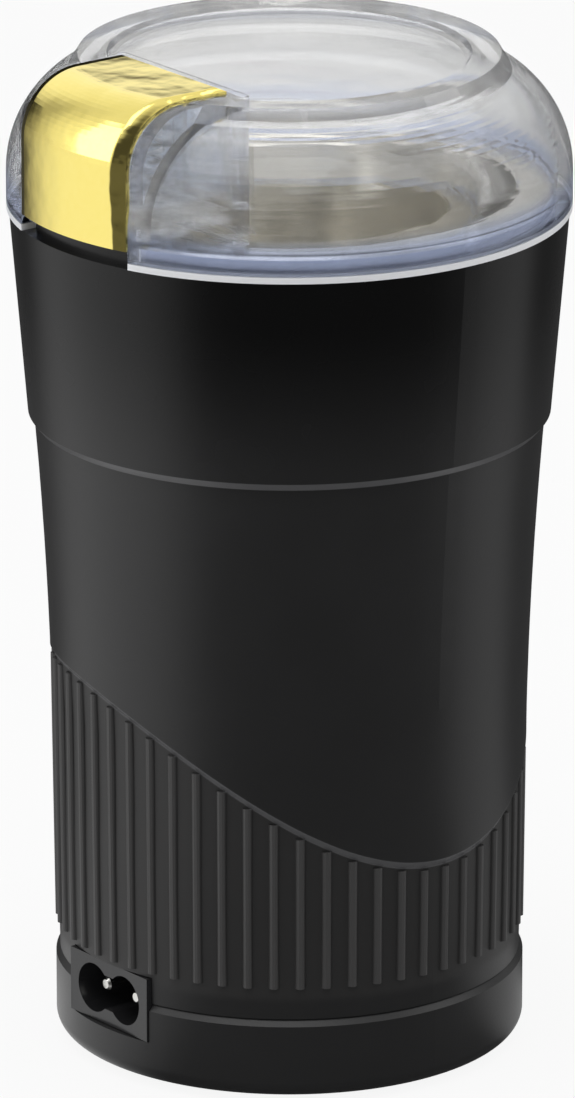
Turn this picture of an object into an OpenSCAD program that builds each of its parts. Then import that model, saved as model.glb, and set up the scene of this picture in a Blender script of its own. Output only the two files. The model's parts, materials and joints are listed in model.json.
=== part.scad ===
// Electric spice grinder: a ribbed round body with a clear lid that is pressed to run the motor.
// The origin is the middle of the base on the table, Z is up, and the motor shaft is on Z.
// The press button and the mains inlet face -Y.

/* [Body] */
// Radius of the base
base_r = 41; // [40.5:0.1:42]
// How much wider than the base the lower housing is at its waist
waist_flare = 0.4; // [0:0.1:1]
// How much wider than the base the body is at the seam
seam_flare = 4.2; // [3:0.1:5]
// How much wider than the seam the body is at the shoulder that carries the lid
collar_flare = 3.2; // [2.5:0.1:4]
// Height of the shoulder above the seam
collar_h = 37.9; // [37:0.1:42]
// Height of the seam between the two housings
seam_z = 112.5; // [111.5:0.1:113.5]
// How far the lower housing steps in at the seam
seam_step = 1; // [0.6:0.1:1.6]
// Height of the light chamfer at the seam
seam_chamfer = 1.4; // [0.8:0.1:2.4]
// Wall of both housings
wall = 2.2; // [1.8:0.1:2.6]
// Height of the raised lip inside the lid's skirt
lip_h = 3; // [2.6:0.1:3.6]

/* [Grip] */
// Number of upright ribs round the grip
rib_count = 56; // [28:4:64]
// Width of one rib at half its height
rib_w = 1.2; // [0.8:0.1:2]
// Distance of the ribs' upper ends under the wavy edge
rib_stop = 0.45; // [0.3:0.05:1]
// Depth of the grip below the smooth skin
grip_depth = 0.7; // [0.4:0.1:1]
// Height of the ribs' lower ends
grip_bottom_z = 21.2; // [20:0.1:24]
// Middle height of the wavy edge above the ribs
wave_mid = 60.6; // [52:0.1:62]
// Main rise and fall of the wavy edge, once round the body
wave_main = 11.9; // [6:0.1:13]
// Second rise and fall of the wavy edge, twice round the body
wave_second = 8; // [3:0.1:8.5]
// Direction of the lowest point of the wavy edge, from +X
wave_low_angle = 2; // [-20:1:20]
// Height of the chamfer along the wavy edge
wave_chamfer = 1.1; // [0.6:0.1:2]

/* [Base] */
// Height of the base cover's upper edge
base_top_z = 15.5; // [14:0.1:17]
// Radius of the rounded edge under the base
base_edge_r = 3; // [2:0.5:5]
// Chamfer round the base cover's upper edge
base_chamfer = 1.2; // [0.6:0.1:1.4]
// Thickness of the base cover's floor
base_floor_t = 2.2; // [2:0.1:3]
// How far the rubber feet stand out of the base
foot_h = 1; // [0.6:0.1:2]
// Radius of a rubber foot
foot_r = 5; // [4:0.1:6]
// Distance of the feet and base screws inside the base's edge
foot_inset = 10; // [9:0.5:12]
// Radius of the base screws' shanks
screw_r = 1.5; // [1.2:0.1:1.8]
// Width of one vent slot in the base
vent_w = 2.4; // [1.6:0.1:3]

/* [Inlet] */
// Width of the inlet's face plate
inlet_w = 21.8; // [20:0.1:23]
// Height of the inlet's face plate
inlet_h = 11.5; // [10.8:0.1:12.5]
// Height of the inlet's middle
inlet_z = 14.4; // [13.5:0.1:15]
// Depth of the face plate's middle inside the base's radius
inlet_inset = 1.1; // [0.6:0.1:1.5]
// Depth of the figure-of-eight socket
socket_depth = 12; // [10:0.5:14]
// Radius of each lobe of the socket
socket_lobe_r = 4.4; // [4.2:0.1:4.8]
// Height of the socket at its waist
socket_waist_h = 6.2; // [5.6:0.1:7]
// Distance between the two pins
pin_pitch = 8.6; // [8.2:0.1:9]
// Radius of a pin
pin_r = 1.2; // [1:0.05:1.3]

/* [Lid] */
// How far the lid stands out over the body
lid_overhang = 0.4; // [0.2:0.1:1.2]
// Height of the lid's flat disc above the shoulder
lid_h = 26.5; // [25:0.1:30]
// Height of the lid's straight skirt
skirt_h = 6.5; // [6:0.1:9]
// Thickness of the lid's dome
lid_wall = 2.6; // [2:0.1:3]
// Distance of the raised ring inside the lid's edge
ring_inset = 12.4; // [11:0.1:14]
// Width of the raised ring
ring_w = 5; // [3:0.1:7]
// Height of the raised ring above the disc
ring_h = 0.7; // [0.3:0.1:1.2]

/* [Button] */
// Width of the press button
button_w = 29.4; // [24:0.1:32]
// How far the button stands above the lid's disc
button_rise = 1.1; // [0.8:0.1:2]
// Radius of the button's round shoulder
button_shoulder_r = 11; // [8:0.5:14]
// Depth of the button from the lid's edge to its straight inner edge
button_depth = 23.8; // [22:0.1:26]
// Thickness of the button's skin
button_skin = 1.8; // [1.4:0.1:2.2]
// How far the button travels
button_travel = 2.6; // [1.6:0.1:2.7]
// Height of the button's lower edge above the shoulder
button_lift = 3.1; // [3:0.1:4]
// Turns of the button's return spring
spring_turns = 8; // [5:1:9]
// Thickness of the return spring's wire
spring_wire = 0.8; // [0.6:0.1:1]

/* [Bowl] */
// Distance of the bowl's mouth inside the shoulder's edge
bowl_inset = 9.2; // [8.8:0.1:10]
// How much the bowl narrows from its mouth to its round corner
bowl_draft = 4.6; // [4:0.1:6]
// Radius of the bowl's round corner
bowl_corner_r = 8; // [5:0.5:10]
// Thickness of the steel
bowl_t = 0.8; // [0.6:0.1:1]
// Height of the bowl's underside above the upper housing's floor
bowl_gap = 1.5; // [1:0.1:2.5]

/* [Blade] */
// Space between the blade's tips and the bowl
blade_gap = 4.4; // [3.6:0.1:9]
// Width of the blade at its middle
blade_w = 12; // [9:0.5:14]
// Thickness of the blade
blade_t = 1.4; // [1:0.1:2]

/* [Motor] */
// Radius of the motor shaft
shaft_r = 3; // [2.5:0.1:3.5]
// Length of the rotor and stator cores
core_l = 24; // [20:1:25]
// Number of slots in the rotor
slot_count = 12; // [8:1:14]
// Air gap between rotor and stator
air_gap = 0.6; // [0.4:0.1:1]
// Space round the motor's plates, inside the housing
motor_gap = 2.1; // [1.6:0.1:3]
// Difference of the stator's two half widths
stator_flat = 6; // [5:0.5:8]
// Number of blades on the cooling fan
fan_blades = 9; // [6:1:12]

/* [Switch] */
// Width of the rod that works the switch
rod_w = 6; // [5:0.5:7]
// Thickness of the rod
rod_t = 1.8; // [1.4:0.1:2]
// Width of the switch
switch_w = 20; // [16:0.5:22]
// Height of the switch's case
switch_h = 10; // [8:0.5:12]
// Thickness of the switch's case
switch_t = 6.4; // [5.5:0.1:7]

/* [Hidden] */
// Clearances: sliding pieces, and a shaft in its bearing
gap = 0.3;
bearing_gap = 0.03;
touch = 0.15;
eps = 0.01;
far = 200;
round_fn = 96;
small_fn = 32;
wave_fn = 112;

// Radii that follow from the base
waist_r = base_r + waist_flare;
seam_r = base_r + seam_flare;
rim_r = seam_r + collar_flare;
lid_r = rim_r + lid_overhang;
ring_r = lid_r - ring_inset;
bowl_r = rim_r - bowl_inset;
bowl_low_r = bowl_r - bowl_draft;
blade_r = bowl_low_r - blade_gap;
foot_ring_r = base_r - foot_inset;
inlet_y = base_r - inlet_inset;
button_back_y = lid_r - button_depth;

// Heights that follow from the driving sizes
base_z = foot_h;
shoulder_z = seam_z + collar_h;
lid_top_z = shoulder_z + lid_h;
lid_shoulder_r = lid_h - skirt_h;
button_top_z = lid_top_z + button_rise;
floor_t = 2.5;
floor_z = seam_z - 8.5;
floor_top = floor_z + floor_t;
bowl_bottom = floor_top + bowl_gap;
lip_z = shoulder_z + lip_h;
rim_z = lip_z + bowl_t;
waist_z = base_top_z + 36.5;
lower_top_r = seam_r - seam_step;

// Radius of the lower housing's smooth skin, and of the upper housing
function body_r(z) = z > waist_z
    ? waist_r + (lower_top_r - waist_r) * pow((z - waist_z) / (seam_z - waist_z), 1.8)
    : waist_r - (waist_r - base_r) * pow((waist_z - z) / (waist_z - base_top_z), 2);
function collar_r(z) = seam_r + (rim_r - seam_r) * (z - seam_z) / (shoulder_z - seam_z);
// Height of the wavy edge at an angle from +X
function wave_z(a) = wave_mid - wave_main * cos(a - wave_low_angle)
    - wave_second * cos(2 * (a - wave_low_angle));
// Points of an arc, from angle a0 to angle a1
function arc(cx, cz, r, a0, a1, n = 20) =
    [for (i = [0:n]) let (a = a0 + (a1 - a0) * i / n) [cx + r * cos(a), cz + r * sin(a)]];
// Smooth skin of the lower housing from z0 to z1, drawn in by a depth
function skin(z0, z1, depth, n) =
    [for (i = [0:n]) let (z = z0 + (z1 - z0) * i / n) [body_r(z) - depth, z]];

smooth_z = max([for (a = [0:5:355]) wave_z(a)]) + wave_chamfer + 2;
skin_low_z = min([for (a = [0:5:355]) wave_z(a)]) - 2;
spigot_r = body_r(floor_z) - wall - touch;
spigot_in = spigot_r - 2;
core_in = min(base_r, waist_r) - grip_depth - 2;
cutter_in = core_in + 0.3;

// Lid, skirt and bowl rim
lip_r = rim_r - 3.6;
rim_band_in = lip_r + 0.1;
rim_band_r = rim_band_in + bowl_t - 0.2;
skirt_in = rim_band_r + gap;
key_r = skirt_in + 0.8;
bowl_out_r = bowl_r + bowl_t;
arch_r = lid_r - lid_shoulder_r;
arch_z = lid_top_z - lid_shoulder_r;
ring_z = lid_top_z + ring_h;
slot_half = button_w / 2 + gap;
cheek_t = 2.4;
cheek_half = slot_half + cheek_t;
slot_back = button_back_y - gap - 0.1;
pocket_back = slot_back - cheek_t;
pocket_floor_z = rim_z + 1;
pocket_floor_t = 2;
pocket_floor_top = pocket_floor_z + pocket_floor_t;
pocket_low_z = shoulder_z + 0.6;

// Button
button_bottom = shoulder_z + button_lift;
button_side_z = pocket_floor_top + button_travel + 2 * gap;
button_arch_r = lid_r - button_shoulder_r;
button_arch_z = button_top_z - button_shoulder_r;
button_under = button_top_z - button_skin;
cheek_drop = 0.6;
finger_w = 4.4;
post_y = -(button_back_y + 7.2);
post_r = 2.2;
post_h = 4.5;
hook_x = 8;
hook_t = 1.6;
hook_w = 4;

// Switch rod
rod_top = rim_z - 0.9;
rod_in_top = bowl_out_r + 0.5;
rod_in_low = rod_in_top - 3.9;
rod_knee_z = lip_z - 8;
rod_bend_z = floor_top + 7.5;
rod_foot_z = floor_z - 5.4;
rod_foot_in = rod_in_low - 3.2;
rod_slot = rod_w / 2 + gap + 0.1;

// Switch and its bracket
plunger_r = 1.4;
plunger_top = rod_foot_z - gap;
switch_top = plunger_top - button_travel - 0.8;
switch_y = rod_foot_in + 1.6;
switch_in = switch_y - switch_t / 2;
bracket_t = 1.5;
tag_x = 7;

// Motor
bearing_r = 6.5;
bearing_h = 7;
plate_t = 3;
up_plate_z = floor_z - 6.5;
mount_h = floor_z - up_plate_z - plate_t;
fan_h = 5.8;
winding_l = 7;
fan_z = up_plate_z - fan_h - 3.2;
core_z = fan_z - 1.5 - winding_l - core_l;
low_plate_z = core_z - 27;
plate_round = core_in - motor_gap;
stator_x = plate_round - 3.2;
stator_y = stator_x - stator_flat;
rotor_share = 17 / 27;
rotor_r = stator_y * rotor_share;
fan_r = rotor_r + 6.5;
tie_x = stator_x - 3;
tie_y = stator_y - 14;
tie_r = 1.7;
leg_r = 2.7;
plate_y = tie_y + 3.5;
mount_x = stator_x - 11;
mount_y = tie_y - 2;
mount_r = 4.2;
commutator_h = 10;
commutator_z = core_z - winding_l - commutator_h - 2;
commutator_r = 9;
segments = 18;
frame_t = 5.5;
// The frame's corners and the coils in them stay inside these radii
window_round = plate_round - 1.2;
coil_round = window_round - 0.6;
shoe_t = 2.8;
neck_w = 18;
shoe_angle = 58;
stator_bore = rotor_r + air_gap;
coil_in = stator_bore + shoe_t + 0.5;
coil_out = stator_x - frame_t - 0.5;
coil_h = 7;
brush_w = 5;
brush_side = brush_w / 2 + 1.2;
brush_h = 7;
brush_z = commutator_z + commutator_h / 2;
tab_r = spigot_in - 4.3;
tab_z = floor_z - 10;
tab_t = 3;
boss_r = 3.6;
tab_angles = [90, 235, 305];
foot_angles = [50, 130, 230, 310];
base_screw_angles = [90, 200, 340];

// Blade
seal_top = bowl_bottom + bowl_t + 2.2;
hub_bottom = seal_top + 0.4;
hub_h = 2.4;
blade_z = hub_bottom + hub_h;
nut_h = 3.8;
shaft_bottom = low_plate_z - 5;
shaft_top = blade_z + blade_t + 2.6;

// Turns a closed outline of radius and height round the shaft
module turned(points, n = round_fn) { rotate_extrude($fn = n) polygon(points); }
// Places children at a distance from the middle, at each angle
module around(angles, r) { for (a = angles) rotate([0, 0, a]) translate([r, 0, 0]) children(); }
// Box that is centred in X and runs from the low to the high corner
module slab(half_x, y0, y1, z0, z1) {
    translate([-half_x, y0, z0]) cube([2 * half_x, y1 - y0, z1 - z0]);
}
module tube(r_out, r_in, h) {
    difference() {
        cylinder(r = r_out, h = h, $fn = small_fn);
        translate([0, 0, -eps]) cylinder(r = r_in, h = h + 2 * eps, $fn = small_fn);
    }
}
// Round wire or lead swept along points, as one unbroken tube
module swept(path, r, sides = 6) {
    last = len(path) - 1;
    function way(i) = let (d = path[min(i + 1, last)] - path[max(i - 1, 0)]) d / norm(d);
    function across(t) = let (c = cross(t, abs(t[2]) > 0.9 ? [0, 1, 0] : [0, 0, 1])) c / norm(c);
    points = [for (i = [0:last]) let (t = way(i), u = across(t), v = cross(t, u))
        for (k = [0:sides - 1]) let (a = 360 * k / sides)
            path[i] + r * (cos(a) * u + sin(a) * v)];
    faces = concat([[for (k = [0:sides - 1]) k]],
        [[for (k = [sides - 1:-1:0]) last * sides + k]],
        [for (i = [0:last - 1]) for (k = [0:sides - 1]) for (half = [0, 1])
            let (k1 = (k + 1) % sides, p = i * sides + k, q = i * sides + k1)
            half == 0 ? [p, p + sides, q] : [q, p + sides, q + sides]]);
    polyhedron(points, faces, convexity = 6);
}

// ---------- lid ----------
module lid_outline_solid() {
    turned(concat([[0, shoulder_z], [lid_r, shoulder_z]], arc(arch_r, arch_z, lid_shoulder_r, 0, 62),
        [[ring_r, ring_z], [ring_r - ring_w, ring_z], [ring_r - ring_w - ring_h, lid_top_z],
        [0, lid_top_z]]));
}
module lid_hollow() {
    inner = lid_r - lid_wall;
    r = lid_shoulder_r - lid_wall;
    turned(concat([[0, shoulder_z - 1], [skirt_in, shoulder_z - 1], [skirt_in, rim_z + 0.4],
        [inner, rim_z + 0.8]], arc(arch_r, arch_z, r, 0, 90), [[0, lid_top_z - lid_wall]]));
}
// Body of revolution inside the button's outer face, set in by a depth
module button_round(depth) {
    turned(concat([[0, shoulder_z], [lid_r - depth, shoulder_z]],
        arc(button_arch_r, button_arch_z, button_shoulder_r - depth, 0, 90),
        [[0, button_top_z - depth]]));
}
module pocket_walls() {
    difference() {
        intersection() {
            button_round(cheek_drop);
            slab(cheek_half, -far, -pocket_back, pocket_low_z, far);
        }
        slab(slot_half, -far, -slot_back, 0, far);
        // Room for the bowl's rim, which the walls straddle
        turned([[bowl_r - 1, 0], [skirt_in + 0.2, 0], [skirt_in + 0.2, pocket_floor_z],
            [bowl_r - 1, pocket_floor_z]]);
    }
}
module pocket_floor() {
    difference() {
        intersection() {
            slab(slot_half + 1, -far, -pocket_back - 1, pocket_floor_z, pocket_floor_top);
            cylinder(r = lid_r - button_skin - 2 * gap, h = far, $fn = round_fn);
        }
        slab(finger_w / 2 + gap, -rod_in_top - rod_t - 2 * gap, -rod_in_top + 2 * gap, 0, far);
        // Slots for the hooks, too narrow for their barbs
        for (side = [-1, 1]) translate([side * hook_x, post_y, 0])
            slab(hook_t / 2 + gap, -hook_w / 2 - gap, hook_w / 2 + gap, 0, far);
    }
    translate([0, post_y, pocket_floor_top - 1]) cylinder(r = post_r, h = post_h + 1, $fn = small_fn);
}
module lid_shell() {
    color([0.85, 0.88, 0.93, 0.45]) union() {
        difference() {
            lid_outline_solid();
            lid_hollow();
            slab(slot_half, -far, -slot_back, 0, far);
        }
        pocket_walls();
        pocket_floor();
    }
}

// ---------- button ----------
module press_button() {
    hook_low = pocket_floor_z - gap - 1.2;
    color("gold") union() {
        difference() {
            intersection() {
                button_round(0);
                slab(button_w / 2, -far, -button_back_y, button_bottom, far);
            }
            intersection() {
                button_round(button_skin);
                slab(button_w / 2 - button_skin, -far, -button_back_y - button_skin, 0, far);
            }
            translate([0, 0, -eps]) cylinder(r = lid_r - button_skin, h = button_side_z, $fn = round_fn);
        }
        intersection() {
            button_round(button_skin / 2);
            union() {
                // Finger that reaches the switch rod
                slab(finger_w / 2, -rod_in_top - rod_t, -rod_in_top, rod_top + gap, far);
                // Spring post
                translate([0, post_y, button_under - post_h])
                    cylinder(r = post_r, h = post_h + 2, $fn = small_fn);
                // Hooks that keep the button in its pocket
                for (side = [-1, 1]) translate([side * hook_x, post_y, 0]) {
                    slab(hook_t / 2, -hook_w / 2, hook_w / 2, hook_low, far);
                    translate([side * hook_t / 2, 0, hook_low])
                        slab(0.8, -hook_w / 2, hook_w / 2, 0, 1.2);
                }
            }
        }
    }
}
spring_r = post_r + spring_wire / 2 + 0.4;
spring_low = pocket_floor_top + spring_wire / 2;
spring_high = button_under - spring_wire / 2;
spring_steps = 12;
spring_path = [for (i = [0:spring_turns * spring_steps]) let (a = 360 * i / spring_steps,
    f = i / (spring_turns * spring_steps))
    [spring_r * cos(a), post_y + spring_r * sin(a), spring_low + (spring_high - spring_low) * f]];
echo("least gap between turns of the return spring",
    (spring_high - spring_low) / spring_turns - spring_wire);
module button_spring() { color("silver") swept(spring_path, spring_wire / 2); }

// ---------- housings ----------
module upper_housing() {
    in_top = collar_r(lip_z - 6) - wall;
    color([0.12, 0.12, 0.13]) difference() {
        union() {
            turned([[bearing_r + 2, floor_z], [spigot_r, floor_z], [spigot_r, seam_z],
                [lower_top_r, seam_z], [collar_r(seam_z + seam_chamfer), seam_z + seam_chamfer],
                [collar_r(shoulder_z), shoulder_z], [lip_r, shoulder_z], [lip_r, lip_z],
                [bowl_out_r + gap, lip_z], [bowl_out_r + gap, lip_z - 6], [in_top, lip_z - 6],
                [seam_r - wall, seam_z + 2], [spigot_in, seam_z], [spigot_in, floor_top],
                [bearing_r + 2, floor_top]]);
            // Raised key that shows under the button
            intersection() {
                slab(slot_half - 1, -key_r, -lip_r, shoulder_z - 1, lip_z - 0.2);
                turned([[rim_band_r + 0.1, 0], [key_r, 0], [key_r, far], [rim_band_r + 0.1, far]]);
            }
            // Bosses for the screws that join the housings
            around(tab_angles, tab_r) translate([0, 0, tab_z + tab_t])
                cylinder(r = boss_r, h = floor_z - tab_z - tab_t + 1, $fn = small_fn);
        }
        // Way of the switch rod through lip and floor
        slab(rod_slot, -rod_in_top - rod_t - 2 * gap, -bowl_out_r + gap, lip_z - 7, far);
        slab(rod_slot, -rod_in_low - rod_t - 2 * gap, -rod_in_low + 2 * gap, 0, floor_top + eps);
        around(tab_angles, tab_r) translate([0, 0, 0]) cylinder(r = screw_r, h = floor_top - 1, $fn = small_fn);
        for (x = [-1, 1], y = [-1, 1]) translate([x * mount_x, y * mount_y, 0])
            cylinder(r = screw_r, h = floor_top - 0.6, $fn = small_fn);
    }
}
// Space under the wavy edge, whose sloping top cuts the chamfer along the skin's lower edge
module wave_cutter() {
    low = skin_low_z - 1;
    slope = wave_chamfer / grip_depth;
    function section(a) = let (z = wave_z(a), r = body_r(z) - grip_depth)
        [[cutter_in, low], [cutter_in, z - (r - cutter_in) * slope], [r + 2, z + 2 * slope],
        [r + 2, low]];
    width = 4;
    points = [for (i = [0:wave_fn - 1]) let (a = 360 * i / wave_fn)
        for (p = section(a)) [p[0] * cos(a), p[0] * sin(a), p[1]]];
    faces = [for (i = [0:wave_fn - 1]) for (k = [0:width - 1]) for (half = [0, 1])
        let (j = (i + 1) % wave_fn, k1 = (k + 1) % width,
            a = i * width + k, b = i * width + k1, c = j * width + k, d = j * width + k1)
        half == 0 ? [a, c, b] : [b, c, d]];
    polyhedron(points, faces, convexity = 6);
}
// Upright ribs with sloping sides, flush with the smooth skin, that stop just under the wave
module grip_ribs() {
    foot = body_r(grip_bottom_z) - 0.02;
    half = rib_w / 2;
    side = 0.35;
    outline = [[-grip_depth - 1, half + side], [-grip_depth, half + side], [-grip_depth * 0.3, half],
        [0, half - side]];
    for (i = [0:rib_count - 1]) let (a = 360 * (i + 0.5) / rib_count, top = wave_z(a) - rib_stop,
        rise = top - grip_bottom_z, lean = atan((body_r(top) - 0.02 - foot) / rise))
        rotate([0, 0, a]) translate([foot, 0, grip_bottom_z]) rotate([0, lean, 0])
            linear_extrude(rise / cos(lean)) polygon(concat(
                [for (p = outline) [p[0], -p[1]]], [for (k = [3:-1:0]) outline[k]]));
}
module lower_housing() {
    lip_low = base_top_z - 3.5;
    color([0.16, 0.16, 0.17]) difference() {
        union() {
            // Smooth skin down to the wave
            difference() {
                turned(concat(skin(skin_low_z, seam_z, 0, 12), skin(seam_z, skin_low_z, wall, 6)));
                wave_cutter();
            }
            // Recessed core of the grip, with the register that enters the base
            turned(concat([[core_in, lip_low], [base_r - 2 - touch - 0.05, lip_low],
                [base_r - 2 - touch - 0.05, base_top_z]], skin(base_top_z, smooth_z, grip_depth, 5),
                [[core_in, smooth_z]]));
            grip_ribs();
            // Brackets for the housing screws, and bosses for the base screws
            intersection() {
                around(tab_angles, 0) translate([tab_r - boss_r, -5, tab_z]) cube([20, 10, tab_t]);
                turned([[tab_r - boss_r - 0.2, 0], [body_r(tab_z) - wall / 2, 0],
                    [body_r(tab_z) - wall / 2, far], [tab_r - boss_r - 0.2, far]]);
            }
            around(base_screw_angles, foot_ring_r) {
                translate([0, 0, lip_low]) cylinder(r = boss_r, h = 11, $fn = small_fn);
                translate([boss_r - 1, -1, lip_low]) cube([core_in - foot_ring_r - boss_r + 1.3, 2, 11]);
            }
        }
        around(tab_angles, tab_r) translate([0, 0, tab_z - 1])
            cylinder(r = screw_r + 0.2, h = tab_t + 2, $fn = small_fn);
        around(base_screw_angles, foot_ring_r) translate([0, 0, lip_low - 1])
            cylinder(r = screw_r, h = 9, $fn = small_fn);
        slab(inlet_w / 2 + touch, -far, -inlet_y + socket_depth, 0, inlet_z + inlet_h / 2 + touch);
    }
}

// ---------- base ----------
module base_cover() {
    low_r = base_r - base_edge_r;
    in_r = base_r - 2;
    color([0.16, 0.16, 0.17]) difference() {
        union() {
            turned(concat([[0, base_z]], arc(low_r, base_z + base_edge_r, base_edge_r, -90, 0),
                [[base_r, base_top_z - base_chamfer], [base_r - base_chamfer, base_top_z], [in_r, base_top_z],
                [in_r, base_z + base_edge_r], [low_r, base_z + base_floor_t],
                [0, base_z + base_floor_t]]));
            around(base_screw_angles, foot_ring_r)
                cylinder_from(boss_r, base_z, base_top_z - 3.5 - eps);
        }
        // Feet sit in shallow pockets
        around(foot_angles, foot_ring_r) cylinder_from(foot_r, 0, base_z + 0.8);
        around(base_screw_angles, foot_ring_r) {
            cylinder_from(screw_r + 0.2, 0, base_top_z);
            cylinder_from(3.1, 0, base_z + 5);
        }
        for (i = [-4:4]) translate([i * vent_w * 2, 0, 0])
            slab(vent_w / 2, -vent_l(i), vent_l(i), 0, base_z + base_floor_t + 1);
        slab(inlet_w / 2 + touch, -far, -inlet_y + 6, inlet_z - inlet_h / 2 - touch, far);
    }
}
function vent_l(i) = 18 - i * i * 0.6;
module cylinder_from(r, z0, z1) {
    translate([0, 0, z0]) cylinder(r = r, h = z1 - z0, $fn = small_fn);
}
module rubber_feet() {
    color([0.08, 0.08, 0.08]) around(foot_angles, foot_ring_r) rotate_extrude($fn = small_fn)
        polygon([[0, 0], [foot_r - 0.8, 0], [foot_r - touch, 0.8], [foot_r - touch, base_z + 0.8],
            [0, base_z + 0.8]]);
}
module base_screws() {
    head_z = base_z + 5;
    color("silver") around(base_screw_angles, foot_ring_r) difference() {
        union() {
            cylinder_from(screw_r, head_z - 1, base_top_z + 4);
            cylinder_from(2.9, head_z - 2, head_z);
        }
        for (a = [0, 90]) rotate([0, 0, a]) slab(1.6, -0.3, 0.3, head_z - 2 - eps, head_z - 1.2);
    }
}
module housing_screws() {
    color("silver") around(tab_angles, tab_r) difference() {
        union() {
            cylinder_from(screw_r, tab_z - 0.5, floor_z - 1);
            cylinder_from(2.8, tab_z - 2, tab_z);
        }
        for (a = [0, 90]) rotate([0, 0, a]) slab(1.6, -0.3, 0.3, tab_z - 2 - eps, tab_z - 1.2);
    }
}

// ---------- inlet ----------
module inlet_socket() {
    back = -inlet_y + socket_depth + 1.6;
    plate_t = 1.6;
    color([0.1, 0.1, 0.1]) difference() {
        union() {
            slab(inlet_w / 2, -inlet_y, -inlet_y + plate_t, inlet_z - inlet_h / 2, inlet_z + inlet_h / 2);
            slab(inlet_w / 2 - 0.9, -inlet_y, back, inlet_z - inlet_h / 2 + 0.5,
                inlet_z + inlet_h / 2 - 0.5);
        }
        translate([0, -inlet_y - 1, inlet_z]) rotate([-90, 0, 0]) {
            for (side = [-1, 1]) translate([side * pin_pitch / 2, 0, 0])
                cylinder(r = socket_lobe_r, h = socket_depth + 1, $fn = 48);
            translate([-pin_pitch / 2, -socket_waist_h / 2, 0])
                cube([pin_pitch, socket_waist_h, socket_depth + 1]);
            for (side = [-1, 1]) translate([side * pin_pitch / 2, 0, 0])
                cylinder(r = pin_r + eps, h = socket_depth + 10, $fn = small_fn);
        }
    }
}
module inlet_pins() {
    tip = 2.6;
    tail = 5;
    color("silver") for (side = [-1, 1])
        translate([side * pin_pitch / 2, -inlet_y + tip, inlet_z]) rotate([-90, 0, 0])
            rotate_extrude($fn = small_fn)
                polygon([[0, 0], [pin_r - 0.4, 0], [pin_r, 0.4], [pin_r, socket_depth + tail],
                    [0, socket_depth + tail]]);
}

// ---------- bowl ----------
module grinding_bowl() {
    cz = bowl_bottom + bowl_t + bowl_corner_r;
    cr = bowl_low_r - bowl_corner_r;
    seal_r = 6;
    color([0.75, 0.74, 0.7]) difference() {
        turned(concat([[seal_r, bowl_bottom]], arc(cr, cz, bowl_corner_r + bowl_t, -90, 0, 8),
            [[bowl_out_r, lip_z], [rim_band_in, lip_z], [rim_band_in, shoulder_z + 0.6],
            [rim_band_r, shoulder_z + 0.6], [rim_band_r, rim_z - 0.4], [rim_band_r - 0.4, rim_z],
            [bowl_r + 0.5, rim_z], [bowl_r, rim_z - 0.5]],
            [for (i = [0:8]) let (a = -90 * i / 8)
                [cr + bowl_corner_r * cos(a), cz + bowl_corner_r * sin(a)]],
            [[seal_r, bowl_bottom + bowl_t]]));
        slab(rod_slot, -rod_in_top - rod_t - 2 * gap, -rod_in_top + gap, lip_z - eps, far);
    }
}
module bowl_gasket() {
    color([0.3, 0.3, 0.3]) translate([0, 0, floor_top]) tube(20, 12, bowl_gap);
}
module shaft_seal() {
    color([0.6, 0.2, 0.15]) turned([[shaft_r + bearing_gap + 0.02, bowl_bottom - 1.4],
        [8, bowl_bottom - 1.4], [8, bowl_bottom], [6, bowl_bottom], [6, bowl_bottom + bowl_t],
        [8, bowl_bottom + bowl_t], [8, bowl_bottom + bowl_t + 1.2], [5, seal_top],
        [shaft_r + bearing_gap + 0.02, seal_top]], small_fn);
}

// ---------- blade ----------
// Half of the blade: flat wing, then a tip that is bent up or down
module blade_wing(bend) {
    flat = blade_r * 0.62;
    tip = blade_r - flat;
    lean = 28 * bend;
    linear_extrude(blade_t) polygon([[0, -blade_w / 2], [flat, -blade_w / 2 + 1.5],
        [flat, blade_w / 2 - 3.5], [0, blade_w / 2]]);
    translate([flat, 0, bend > 0 ? 0 : blade_t]) rotate([0, -lean, 0])
        translate([-0.4, 0, bend > 0 ? 0 : -blade_t])
        linear_extrude(blade_t) polygon([[0, -blade_w / 2 + 1.5], [tip * 0.8, -blade_w / 2 + 3],
            [tip, -blade_w / 2 + 5], [tip * 0.9, 0.5], [0, blade_w / 2 - 3.5]]);
}
module blade() {
    color("lightgray") translate([0, 0, blade_z]) difference() {
        union() {
            blade_wing(1);
            rotate([0, 0, 180]) blade_wing(-0.6);
        }
        translate([0, 0, -1]) cylinder(r = shaft_r - 0.6 + eps, h = 10, $fn = small_fn);
    }
}
module blade_hub() {
    color("gray") translate([0, 0, hub_bottom]) tube(6, shaft_r, hub_h);
}
module blade_nut() {
    color("silver") translate([0, 0, blade_z + blade_t]) difference() {
        union() {
            cylinder(r = 5, h = nut_h - 1.2, $fn = 6);
            cylinder(r = 3.9, h = nut_h, $fn = small_fn);
        }
        translate([0, 0, -eps]) cylinder(r = shaft_r - 0.6, h = 2.6 + eps, $fn = small_fn);
    }
}

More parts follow.
